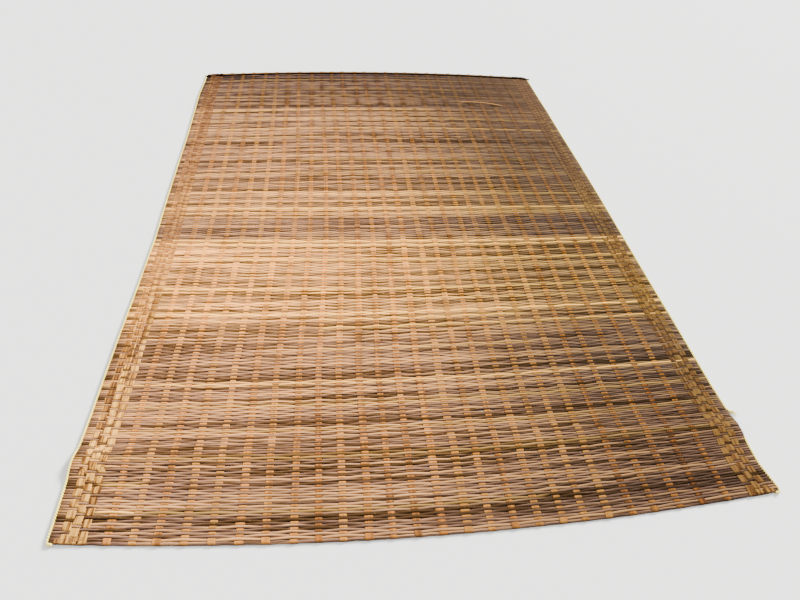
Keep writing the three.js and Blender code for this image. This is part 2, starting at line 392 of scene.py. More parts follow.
@dataclass
class TubeTemplate:
    """A capped tube from one bmesh, kept as arrays, that long thin pieces are swept from."""

    corners: int
    rings: int

    def __post_init__(self) -> None:
        """Make the tube and note each vertex's ring and corner."""
        shape = bmesh.new()
        bmesh.ops.create_cone(
            shape,
            cap_ends=True,
            cap_tris=False,
            segments=self.corners,
            radius1=1,
            radius2=1,
            depth=1,
        )
        lengthwise = [e for e in shape.edges if abs(e.verts[0].co.z - e.verts[1].co.z) > 0.5]
        if self.rings > 2:
            bmesh.ops.subdivide_edges(shape, edges=lengthwise, cuts=self.rings - 2)
        shape.verts.index_update()
        places = np.array([vertex.co for vertex in shape.verts])
        turns = np.arctan2(places[:, 1], places[:, 0]) * self.corners / math.tau
        self.ring = np.round((places[:, 2] + 0.5) * (self.rings - 1)).astype(int)
        self.corner = np.round(turns - turns[0]).astype(int) % self.corners
        self.loops = np.array([vertex.index for face in shape.faces for vertex in face.verts])
        self.sizes = np.array([len(face.verts) for face in shape.faces])
        shape.free()

    def sweep(
        self, centres: np.ndarray, radii: np.ndarray, section: np.ndarray | None = None
    ) -> np.ndarray:
        """Carry tubes along their centre lines.

        Args:
            centres: The points of each tube, as tube, ring, xyz.
            radii: The radius at each ring of each tube.
            section: The corners' places sideways and upwards in radii, round where left out.

        Returns:
            The vertices, as tube, vertex, xyz.
        """
        if section is None:
            angle = np.arange(self.corners) * math.tau / self.corners
            section = np.stack([np.cos(angle), np.sin(angle)], axis=1)
        along = np.gradient(centres, axis=1)
        along /= np.linalg.norm(along, axis=2, keepdims=True)
        sideways = np.cross(UPWARDS, along)
        sideways /= np.linalg.norm(sideways, axis=2, keepdims=True)
        upper = np.cross(along, sideways)
        reach = radii[:, self.ring, None]
        across = section[self.corner, 0][None, :, None] * sideways[:, self.ring]
        high = section[self.corner, 1][None, :, None] * upper[:, self.ring]
        return centres[:, self.ring] + reach * (across + high)

    def build(self, name: str, places: np.ndarray, **values: np.ndarray) -> Piece:
        """Join swept tubes into one object.

        Args:
            name: The object's name.
            places: The vertices, as tube, vertex, xyz.
            **values: Named values for each vertex of each tube, which become attributes.

        Returns:
            The new object, which stands at the origin.
        """
        tubes, count = places.shape[:2]
        first = (np.arange(tubes) * count)[:, None]
        sizes = np.tile(self.sizes, tubes)
        mesh = bpy.data.meshes.new(name)
        mesh.vertices.add(tubes * count)
        mesh.loops.add(int(sizes.sum()))
        mesh.polygons.add(len(sizes))
        mesh.vertices.foreach_set("co", places.astype(np.float32).ravel())
        loops = (self.loops[None, :] + first).ravel()
        mesh.loops.foreach_set("vertex_index", loops.astype(np.int32))
        starts = np.concatenate([[0], np.cumsum(sizes)[:-1]])
        mesh.polygons.foreach_set("loop_start", starts.astype(np.int32))
        for key, value in values.items():
            layer = mesh.attributes.new(key, "FLOAT", "POINT")
            layer.data.foreach_set("value", value.astype(np.float32).ravel())
        mesh.update(calc_edges=True)
        mesh.shade_smooth()
        return link(name, mesh)


@functools.lru_cache(maxsize=None)
def tube(corners: int, rings: int) -> TubeTemplate:
    """Give the template for tubes of this many corners and rings, made once."""
    return TubeTemplate(corners, rings)


class Tree:
    """Adds nodes to one node tree and joins them up."""

    def __init__(self, tree: bpy.types.NodeTree) -> None:
        """Keep the tree."""
        self.tree = tree

    def add(self, kind: str, inputs: dict | None = None, **settings: object) -> bpy.types.Node:
        """Add one node.

        Args:
            kind: The node's type, without the words ShaderNode in front.
            inputs: A value or another node's socket for each input, by name or number.
            **settings: The node's own settings.

        Returns:
            The new node.
        """
        node = self.tree.nodes.new("ShaderNode" + kind)
        for key, value in settings.items():
            setattr(node, key, value)
        for key, value in (inputs or {}).items():
            if isinstance(value, Socket):
                self.tree.links.new(value, node.inputs[key])
            elif node.inputs[key].type == "RGBA":
                node.inputs[key].default_value = (*value[:3], 1.0)
            else:
                node.inputs[key].default_value = value
        return node

    def put(self, value: Socket, node: bpy.types.Node, name: str) -> None:
        """Lead a value into a node's named input."""
        self.tree.links.new(value, node.inputs[name])

    def mix(self, share: object, first: object, second: object, blend: str = "MIX") -> Socket:
        """Mix two colours, by the share of the second, and give the result's socket."""
        inputs = {0: share, 6: first, 7: second}
        return self.add("Mix", inputs, data_type="RGBA", blend_type=blend).outputs[2]

    def maths(self, operation: str, *values: object) -> Socket:
        """Work out one sum of numbers or sockets and give the result's socket."""
        return self.add("Math", dict(enumerate(values)), operation=operation).outputs[0]

    def spread(self, value: object, source: Pair, target: Pair = (0.0, 1.0)) -> Socket:
        """Stretch a value from one range to another and give the result's socket."""
        names = ("Value", "From Min", "From Max", "To Min", "To Max")
        return self.add("MapRange", dict(zip(names, (value, *source, *target)))).outputs[0]

    def ramp(self, value: object, stops: list[tuple[float, Colour]]) -> Socket:
        """Turn a value into a colour.

        Args:
            value: The value, from 0 to 1.
            stops: The places of the colours and the colours.

        Returns:
            The socket with the colour.
        """
        node = self.add("ValToRGB", {0: value})
        line = node.color_ramp
        while len(line.elements) < len(stops):
            line.elements.new(0.5)
        for element, (place, colour) in zip(line.elements, stops):
            element.position = place
            element.color = (*colour, 1.0)
        return node.outputs[0]

    def noise(
        self, place: Socket, scale: float, detail: float = 3.0, rough: float = 0.55
    ) -> Socket:
        """Add a noise texture and give the socket with its value."""
        inputs = {"Vector": place, "Scale": scale, "Detail": detail, "Roughness": rough}
        return self.add("TexNoise", inputs).outputs[0]


def new_group(name: str, **sockets: tuple[str, str]) -> tuple[Tree, bpy.types.Node]:
    """Start a node group.

    Args:
        name: The group's name.
        **sockets: Whether each named socket is an INPUT or OUTPUT, and its kind.
    """
    group = bpy.data.node_groups.new(name, "ShaderNodeTree")
    for socket, (way, kind) in sockets.items():
        group.interface.new_socket(socket, in_out=way, socket_type=f"NodeSocket{kind}")
    return Tree(group), group.nodes.new("NodeGroupOutput")


def new_material(name: str) -> tuple[Material, Tree, bpy.types.Node]:
    """Start a material.

    Args:
        name: The material's name.
    """
    made = bpy.data.materials.new(name)
    made.use_nodes = True
    return made, Tree(made.node_tree), made.node_tree.nodes["Principled BSDF"]


@functools.lru_cache(maxsize=None)
def plant_fibre() -> bpy.types.ShaderNodeTree:
    """Build the group that draws the long fine streaks of split plant stems.

    Returns:
        The group, whose Stretch input sets the fineness along x, y and z.
    """
    kit, put_out = new_group(
        "plant_fibre",
        Stretch=("INPUT", "Vector"),
        Streak=("OUTPUT", "Float"),
        Blotch=("OUTPUT", "Float"),
    )
    stretch = kit.tree.nodes.new("NodeGroupInput").outputs["Stretch"]
    place = kit.add("TexCoord").outputs["Object"]
    along = kit.add("VectorMath", {0: place, 1: stretch}, operation="MULTIPLY").outputs[0]
    coarse = kit.noise(along, scale=1.0, detail=4.0, rough=0.6)
    fine = kit.noise(along, scale=3.1, detail=2.0, rough=0.5)
    both = kit.maths("ADD", kit.maths("MULTIPLY", coarse, 0.65), kit.maths("MULTIPLY", fine, 0.35))
    kit.put(kit.spread(both, (0.3, 0.7)), put_out, "Streak")
    wide = kit.noise(along, scale=0.22, detail=3.0, rough=0.6)
    kit.put(kit.spread(wide, (0.35, 0.68)), put_out, "Blotch")
    return kit.tree


@dataclass(frozen=True)
class BrightnessZone:
    """How bright the mat is at one place along it, or across it where this is painted light and
    shade; 1 is the brightest.
    """

    place: float
    bright: float
    gold: float = 0.0
    gold_green: float = 0.1
    gold_blue: float = -0.3

    def tint(self, green: float, blue: float) -> Colour:
        """Give the tint, which darkens by these powers in green and blue, and may be golden."""
        warm = (1 + self.gold_green * self.gold, 1 + self.gold_blue * self.gold)
        return (self.bright, self.bright**green * warm[0], self.bright**blue * warm[1])


@dataclass(frozen=True)
class ToneDustAndPaintedLight:
    """The mat's large soft zones of tone and its dust, with painted light and shade: lighter on the
    left, darker to the right and darkest at the far right corner.
    """

    half_long: float = 1.4
    half_wide: float = 0.95
    powers_along: Pair = (0.85, 0.45)
    powers_across: Pair = (0.84, 0.64)
    drift: float = 0.012
    slant: float = -0.03
    patches: Pair = (0.86, 1.08)
    middle_y: float = -0.1
    ends: Pair = (0.8, 1.45)
    ends_most: float = 0.32
    ends_tint: Colour = (1.0, 0.93, 0.72)
    specks: float = 120.0
    # Painted shade that darkens the mat towards its far right corner.
    far_shade_across: float = 0.75
    far_shade_along: float = 0.4
    far_shade_range: Pair = (0.45, 1.15)
    far_shade_most: float = 0.42
    along: tuple[BrightnessZone, ...] = (
        BrightnessZone(-1.40, 0.44),
        BrightnessZone(-1.30, 0.40),
        BrightnessZone(-1.18, 0.56),
        BrightnessZone(-0.72, 0.69),
        BrightnessZone(-0.60, 1.08, gold=0.4),
        BrightnessZone(-0.198, 1.14, gold=0.4),
        BrightnessZone(-0.188, 0.52),
        BrightnessZone(-0.06, 0.56),
        BrightnessZone(-0.02, 0.86, gold=0.4),
        BrightnessZone(0.30, 0.61),
        BrightnessZone(0.92, 0.44),
        BrightnessZone(0.95, 0.32),
        BrightnessZone(1.20, 0.22),
        BrightnessZone(1.38, 0.12),
    )
    # Painted light and shade: the mat is brighter on its left and darker towards its right, as the
    # light falls.
    across: tuple[BrightnessZone, ...] = (
        BrightnessZone(-0.50, 1.0),
        BrightnessZone(0.0, 0.77),
        BrightnessZone(0.34, 0.43),
        BrightnessZone(0.60, 0.26),
        BrightnessZone(0.95, 0.21),
    )

    @staticmethod
    def _tints(
        kit: Tree, value: Socket, zones: tuple[BrightnessZone, ...], half: float, powers: Pair
    ) -> Socket:
        """Turn a place, within half the mat's size, into its zone's tint by these powers."""
        stops = [((zone.place + half) / (2 * half), zone.tint(*powers)) for zone in zones]
        return kit.ramp(kit.spread(value, (-half, half)), stops)

    def group(self) -> bpy.types.ShaderNodeTree:
        """Build the node group.

        Returns:
            The group, whose outputs are two tints to multiply by (zones of tone along the mat,
            painted light and shade across it), a dust mask and a mask of painted shade at the far
            right corner.
        """
        kit, put_out = new_group(
            "floor_wear",
            Zone=("OUTPUT", "Color"),
            Across=("OUTPUT", "Color"),
            Dust=("OUTPUT", "Float"),
            Film=("OUTPUT", "Float"),
        )
        place = kit.add("TexCoord").outputs["Object"]
        x, y, _ = kit.add("SeparateXYZ", {0: place}).outputs
        drift = kit.spread(kit.noise(place, 1.3, 2.0), (0.3, 0.7), (-self.drift, self.drift))
        drifted = kit.maths("ADD", y, drift)
        zone = self._tints(kit, drifted, self.along, self.half_long, self.powers_along)
        patches = kit.spread(kit.noise(place, 4.5, 4.0, 0.6), (0.3, 0.72), self.patches)
        kit.put(kit.mix(1.0, zone, patches, "MULTIPLY"), put_out, "Zone")
        # Painted light and shade across the mat, bright on the left and dark on the right.
        slant = kit.maths("MULTIPLY_ADD", y, self.slant, x)
        across = self._tints(kit, slant, self.across, self.half_wide, self.powers_across)
        from_middle = kit.maths("ABSOLUTE", kit.maths("SUBTRACT", y, self.middle_y))
        at_ends = kit.spread(from_middle, self.ends, (0.0, self.ends_most))
        kit.put(kit.mix(at_ends, across, self.ends_tint), put_out, "Across")
        specks = kit.noise(place, self.specks, 2.0, 0.7)
        kit.put(kit.spread(specks, (0.66, 0.74)), put_out, "Dust")
        # Painted shade, strongest at the far right corner.
        to_right = kit.maths("MULTIPLY", x, self.far_shade_across)
        to_corner = kit.maths("MULTIPLY_ADD", y, self.far_shade_along, to_right)
        kit.put(kit.spread(to_corner, self.far_shade_range, (0.0, self.far_shade_most)), put_out, "Film")
        return kit.tree


@functools.lru_cache(maxsize=None)
def floor_wear() -> bpy.types.ShaderNodeTree:
    """Give the group with the mat's wear, built once."""
    return ToneDustAndPaintedLight().group()


@dataclass(frozen=True)
class PlantFinish:
    """A split or round plant stem: streaked along its fibres, with dust, zones of tone and painted
    light and shade.

    The attribute tone moves the colour between dark and light, pale moves it towards straw, and the
    third darkens it with painted shade in crevices and where strips dive, and with one strip's
    stain.
    """

    name: str
    dark: Colour
    middle: Colour
    light: Colour
    straw: Colour
    stretch: Triple
    # Near-black brown for the painted shade in crevices, also used for one strip's stain.
    grime_and_shade: Colour = rgb(47, 29, 20)
    # Dark brown of the painted shade at the far right corner.
    film: Colour = (0.105, 0.062, 0.034)
    crevice_shade: float = 0.95
    crevice_shade_power: float = 1.7
    streaks: float = 0.5
    dust: float = 0.2
    zone: float = 1.0
    across: float = 1.0
    kept: float = 0.0
    kept_power: float = 6.0
    roughness: float = 0.55
    rough_spread: float = 0.12
    shine: float = 0.0
    bump: float = 0.3
    bump_reach: float = 0.3 * MM

    def _dust_zones_and_painted_light(self, kit: Tree, body: Socket, pale: Socket) -> Socket:
        """Lay the mat's dust, its zones of tone and its painted light and shade over the stem's own
        colour.

        Args:
            body: The stem's own colour.
            pale: How pale the stem is; the palest are less changed by the zones and the painted
                light and shade.

        Returns:
            The socket with the worn colour.
        """
        zones_and_light = kit.add("Group", node_tree=floor_wear()).outputs
        dusted_zoned_and_lit = kit.mix(kit.maths("MULTIPLY", zones_and_light["Dust"], self.dust), body, self.straw)
        spared = kit.maths("POWER", pale, self.kept_power)
        # The zones of tone along the mat, then the painted light and shade across it.
        for name, strength in (("Zone", self.zone), ("Across", self.across)):
            share = kit.maths("MULTIPLY_ADD", spared, -self.kept * strength, strength)
            dusted_zoned_and_lit = kit.mix(share, dusted_zoned_and_lit, zones_and_light[name], "MULTIPLY")
        # Painted shade over the far right corner.
        return kit.mix(zones_and_light["Film"], dusted_zoned_and_lit, self.film)

    def material(self) -> Material:
        """Build the material.

        Returns:
            The material.
        """
        made, kit, shader = new_material(self.name)
        fibre = kit.add("Group", node_tree=plant_fibre())
        fibre.inputs["Stretch"].default_value = self.stretch
        tone, pale, deep = (
            kit.add("Attribute", attribute_name=name).outputs["Fac"]
            for name in ("tone", "pale", "deep")
        )
        streak, blotch = (
            kit.maths("MULTIPLY", kit.maths("SUBTRACT", fibre.outputs[name], 0.5), self.streaks)
            for name in ("Streak", "Blotch")
        )
        place = kit.maths("ADD", kit.maths("ADD", tone, streak), blotch)
        body = kit.ramp(place, [(0.0, self.dark), (0.5, self.middle), (1.0, self.light)])
        dusted_zoned_and_lit = self._dust_zones_and_painted_light(kit, kit.mix(pale, body, self.straw), pale)
        # Painted shade: crevices between reeds and places where strips dive under are darkened; one
        # strip's stain uses the same mix.
        shade_and_stain_share = kit.maths("MULTIPLY", kit.maths("POWER", deep, self.crevice_shade_power), self.crevice_shade)
        kit.put(kit.mix(shade_and_stain_share, dusted_zoned_and_lit, self.grime_and_shade), shader, "Base Color")
        rough = (self.roughness - self.rough_spread, self.roughness + self.rough_spread)
        kit.put(kit.spread(streak, (-0.2, 0.2), rough), shader, "Roughness")
        bump = kit.add("Bump", {"Strength": self.bump, "Distance": self.bump_reach})
        kit.put(fibre.outputs["Streak"], bump, "Height")
        kit.put(bump.outputs[0], shader, "Normal")
        shader.inputs["Specular IOR Level"].default_value = self.shine
        return made


@dataclass(frozen=True)
class TwineFinish:
    """Dry pale cord: fine fibres, dull, with a darker grime in places."""

    name: str = "pale_twine"
    clean: Colour = (0.86, 0.78, 0.12)
    grimy: Colour = (0.62, 0.44, 0.09)
    stretch: Triple = (900, 500, 900)
    strands: float = 0.35
    roughness: float = 0.85
    bump: float = 0.5
    bump_reach: float = 0.4 * MM

    def material(self) -> Material:
        """Build the material.

        Returns:
            The material.
        """
        made, kit, shader = new_material(self.name)
        fibre = kit.add("Group", node_tree=plant_fibre())
        fibre.inputs["Stretch"].default_value = self.stretch
        place = kit.add("TexCoord").outputs["Object"]
        grime_and_shade = kit.spread(kit.noise(place, scale=9.0), (0.35, 0.75))
        body = kit.mix(grime_and_shade, self.clean, self.grimy)
        between = kit.maths("SUBTRACT", 1.0, fibre.outputs["Streak"])
        strands = kit.maths("MULTIPLY", between, self.strands)
        kit.put(kit.mix(strands, body, self.grimy), shader, "Base Color")
        shader.inputs["Roughness"].default_value = self.roughness
        bump = kit.add("Bump", {"Strength": self.bump, "Distance": self.bump_reach})
        kit.put(fibre.outputs["Streak"], bump, "Height")
        kit.put(bump.outputs[0], shader, "Normal")
        return made


@dataclass(frozen=True)
class FloorFinish:
    """A plain pale studio floor."""

    name: str = "pale_floor"
    colour: Colour = (0.55, 0.552, 0.541)
    roughness: float = 0.9
    shine: float = 0.1

    def material(self) -> Material:
        """Build the material.

        Returns:
            The material.
        """
        made, _, shader = new_material(self.name)
        shader.inputs["Base Color"].default_value = (*self.colour, 1.0)
        shader.inputs["Roughness"].default_value = self.roughness
        shader.inputs["Specular IOR Level"].default_value = self.shine
        return made


REED_FINISH = PlantFinish(
    name="brown_reed",
    dark=(0.105, 0.047, 0.013),
    middle=(0.37, 0.172, 0.080),
    light=(0.98, 0.420, 0.115),
    straw=(1.0, 0.48, 0.090),
    stretch=(5, 420, 420),
    streaks=0.9,
    kept=0.6,
)
PALE_REED_FINISH = replace(
    REED_FINISH, name="pale_reed", straw=(0.95, 0.46, 0.13), zone=0.8, across=0.7
)
FIELD_STRIP_FINISH = PlantFinish(
    name="orange_tan_strip",
    dark=(0.16, 0.055, 0.017),
    middle=(0.55, 0.157, 0.022),
    light=(0.87, 0.300, 0.038),
    straw=(0.84, 0.335, 0.050),
    stretch=(460, 14, 460),
    streaks=0.8,
    zone=0.97,
    across=0.9,
    kept=0.35,
    crevice_shade=0.92,
    roughness=0.5,
)
BORDER_STRIP_FINISH = PlantFinish(
    name="gold_tan_strip",
    dark=(0.10, 0.038, 0.012),
    middle=(0.39, 0.145, 0.022),
    light=(0.88, 0.41, 0.065),
    straw=(0.26, 0.095, 0.028),
    stretch=(430, 10, 430),
    streaks=1.5,
    zone=0.88,
    across=0.97,
    crevice_shade=0.97,
    bump=0.6,
)
DARK_STICK_FINISH = PlantFinish(
    name="dark_stick",
    dark=rgb(3, 2, 2),
    middle=rgb(7, 5, 4),
    light=rgb(16, 12, 10),
    straw=rgb(120, 96, 70),
    film=rgb(9, 7, 6),
    stretch=(6, 300, 300),
    roughness=0.5,
)


def dress(piece: Piece, material: Material, slot: str, *replaced: str) -> Piece:
    """Give a piece its material and its body, and hide the CAD nodes that it stands for.

    Args:
        piece: The piece.
        material: Its material.
        slot: Not used.
        *replaced: The nodes' names.

    Returns:
        The piece.
    """
    piece.data.materials.append(material)
    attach(piece, BODY)
    if replaced:
        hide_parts(*replaced)
    return piece


@dataclass(frozen=True)
class Weave:
    """How a strip passes the reeds: over some, under some, and so on."""

    over: int
    under: int
    first: int

    def lies(self, reeds: int) -> np.ndarray:
        """List where the strip runs at each reed, as the values of Lie."""
        turn = (np.arange(reeds) + self.first) % (self.over + self.under)
        return np.where(turn < self.over, Lie.OVER.value, Lie.UNDER.value)


@dataclass(frozen=True)
class PaleReed:
    """A straw-coloured reed, or a stretch of one."""

    y: float
    strength: float
    left: float = -1.0
    right: float = 1.0
    reeds_wide: float = 1.25


@dataclass(frozen=True)
class ReedLot:
    """Rows between two places along the mat whose reeds came lighter or darker than the rest."""

    near: float
    far: float
    shift: float


@dataclass
class ReedField:
    """The reeds laid across the mat, in bands from the near end to the far end."""

    plan: MatPlan
    bands: int = 4
    past_side: float = 4.2 * MM
    ragged: float = 0.7 * MM
    fill: float = 0.5
    high_share: float = 0.76
    thick_spread: float = 0.03
    thick_range: Pair = (0.92, 1.05)
    taper: float = 0.05
    lumps: float = 0.02
    lump_blur: Pair = (APART, 1.5)
    joins: int = 4
    join_reach: float = 1.2
    join_length: float = 50 * MM
    row_spread: float = 0.15
    step_spread: float = 0.24
    drift_spread: float = 0.12
    drift_blur: Pair = (APART, 2)
    patch_spread: float = 0.03
    patch_blur: Pair = (5, 12)
    right_calm: float = 0.62
    calm_from: float = 0.7
    seed: int = 41
    section: tuple[Pair, ...] = (
        (1.25, -0.5),
        (0.45, 0.9),
        (-0.45, 0.9),
        (-1.25, -0.5),
        (-0.4, -0.9),
        (0.4, -0.9),
    )
    lots: tuple[ReedLot, ...] = (
        ReedLot(0.16, 0.28, -0.05),
        ReedLot(-0.208, -0.193, -0.25),
        ReedLot(-0.230, -0.219, -0.25),
        ReedLot(-0.262, -0.243, -0.15),
    )
    pale_reeds: tuple[PaleReed, ...] = (
        PaleReed(1.300, 0.8),
        PaleReed(1.172, 0.6),
        PaleReed(1.087, 0.6),
        PaleReed(0.922, 0.8, right=0.3),
        PaleReed(0.819, 0.8),
        PaleReed(0.717, 0.9),
        PaleReed(0.629, 0.6, right=-0.2),
        PaleReed(0.533, 0.5, left=0.2),
        PaleReed(0.409, 0.5, left=-0.4),
        PaleReed(0.345, 0.5, left=-0.3),
        PaleReed(0.295, 0.7),
        PaleReed(0.120, 0.8, left=-0.3),
        PaleReed(0.013, 0.95),
        PaleReed(-0.016, 0.6, left=0.3),
        PaleReed(-0.213, 1.0),
        PaleReed(-0.237, 0.95),
        PaleReed(-0.325, 0.95),
        PaleReed(-0.366, 0.6, left=0.2),
        PaleReed(-0.487, 0.9),
        PaleReed(-0.545, 0.5, left=0.0),
        PaleReed(-0.606, 1.0),
        PaleReed(-0.635, 0.9, left=-0.3, right=0.4),
        PaleReed(-0.673, 0.9, left=-0.3),
        PaleReed(-0.770, 0.6, left=-0.3, right=0.4),
        PaleReed(-0.904, 0.95),
        PaleReed(-0.985, 0.7),
        PaleReed(-1.070, 0.5),
        PaleReed(-1.162, 0.45),
        PaleReed(-1.235, 1.0, left=-0.83, right=-0.73, reeds_wide=1.0),
        PaleReed(-1.313, 0.5, right=0.3),
        PaleReed(-1.313, 1.0, left=-0.85, right=-0.74, reeds_wide=1.0),
    )

    def build(self, material: Material) -> list[Piece]:
        """Build the bands of reeds.

        Args:
            material: The reeds' material.

        Returns:
            The bands.
        """
        plan = self.plan
        rng = np.random.default_rng(self.seed)
        rows = np.arange(plan.reeds)
        ragged = rng.uniform(-1, 1, (2, plan.reeds)) * self.ragged
        left = plan.side_at_row(Side.LEFT, rows)[0] - self.past_side + ragged[0]
        right = plan.side_at_row(Side.RIGHT, rows)[0] + self.past_side + ragged[1]
        share = np.linspace(0, 1, plan.columns)
        x = left[:, None] + (right - left)[:, None] * share
        y = plan.row_y(rows[:, None], x)
        height = plan.on_grid(plan.height, rows[:, None], x)
        z = plan.middle_z + plan.ridge.lift(x, y) + height
        section = np.array(self.section) * (1, self.high_share)
        template = tube(len(section), plan.columns)
        radii = self._radii(rng, x, share)
        places = template.sweep(np.stack([x, y, z], axis=2), radii, section)
        tone = self._tone(rng, x)[:, template.ring]
        pale = self._pale(x)[:, template.ring]
        # A reed's side corners lie in the crevices between neighbours, so they get painted shade.
        at_side = np.abs(section[:, 0]) > 1
        deep = np.broadcast_to(at_side[template.corner].astype(float), tone.shape)
        edges = np.linspace(0, plan.reeds, self.bands + 1).round().astype(int)
        made = []
        for number, (low, high) in enumerate(zip(edges, edges[1:]), 1):
            values = {"tone": tone[low:high], "pale": pale[low:high], "deep": deep[low:high]}
            band = template.build(f"reeds_{number}", places[low:high], **values)
            dress(band, material, "reed", "reed_field")
            made.append(band)
        return made

    def _radii(self, rng: np.random.Generator, x: np.ndarray, share: np.ndarray) -> np.ndarray:
        """Draw how thick the stalks are.

        Args:
            rng: The source of chance.
            x: Places across the mat, for each row.
            share: The same places as shares of the stalk's length.

        Returns:
            The radius at each place.
        """
        reeds = len(x)
        thick = rng.normal(1.0, self.thick_spread, reeds).clip(*self.thick_range)
        lean = rng.choice([-1, 1], reeds) * self.taper
        pitch = self.plan.pitch(np.arange(reeds)[:, None], x)
        radii = self.fill * pitch * thick[:, None] * (1 + lean[:, None] * (share - 0.5))
        return radii * (1 + self.lumps * soft_noise(rng, x.shape, self.lump_blur))

    def _tone(self, rng: np.random.Generator, x: np.ndarray) -> np.ndarray:
        """Draw the tones of the stalks, several of which are joined end to end in each row.

        Args:
            rng: The source of chance.
            x: Places across the mat, for each row.

        Returns:
            The tone at each place, from 0 to 1.
        """
        tone = np.broadcast_to(rng.normal(0.5, self.row_spread, len(x))[:, None], x.shape).copy()
        for _ in range(self.joins):
            join = rng.uniform(-self.join_reach, self.join_reach, len(x))[:, None]
            step = rng.normal(0, self.step_spread, len(x))[:, None]
            tone += step * np.clip((x - join) / self.join_length + 0.5, 0, 1)
        tone += self.drift_spread * soft_noise(rng, x.shape, self.drift_blur)
        tone += self.patch_spread * soft_noise(rng, x.shape, self.patch_blur) + 0.5 - tone.mean()
        rows = self.plan.level_y(np.arange(len(x)), np.zeros(len(x)))
        for lot in self.lots:
            tone[(rows > lot.near) & (rows < lot.far)] += lot.shift
        calm = 1 - self.right_calm * np.clip(x / self.calm_from, 0, 1)
        return (0.5 + (tone - 0.5) * calm).clip(0.0, 1.0)

    def _pale(self, x: np.ndarray) -> np.ndarray:
        """Mark the straw-coloured reeds.

        Args:
            x: Places across the mat, for each row.

        Returns:
            How pale the reed is at each place, from 0 to 1.
        """
        pale = np.zeros_like(x)
        for reed in self.pale_reeds:
            away = np.abs(np.arange(len(x)) - self.plan.reed_at(reed.y))[:, None]
            inside = (x > reed.left) & (x < reed.right)
            wide = np.clip(reed.reeds_wide - away, 0, 1)
            pale = np.maximum(pale, reed.strength * inside * wide)
        return pale


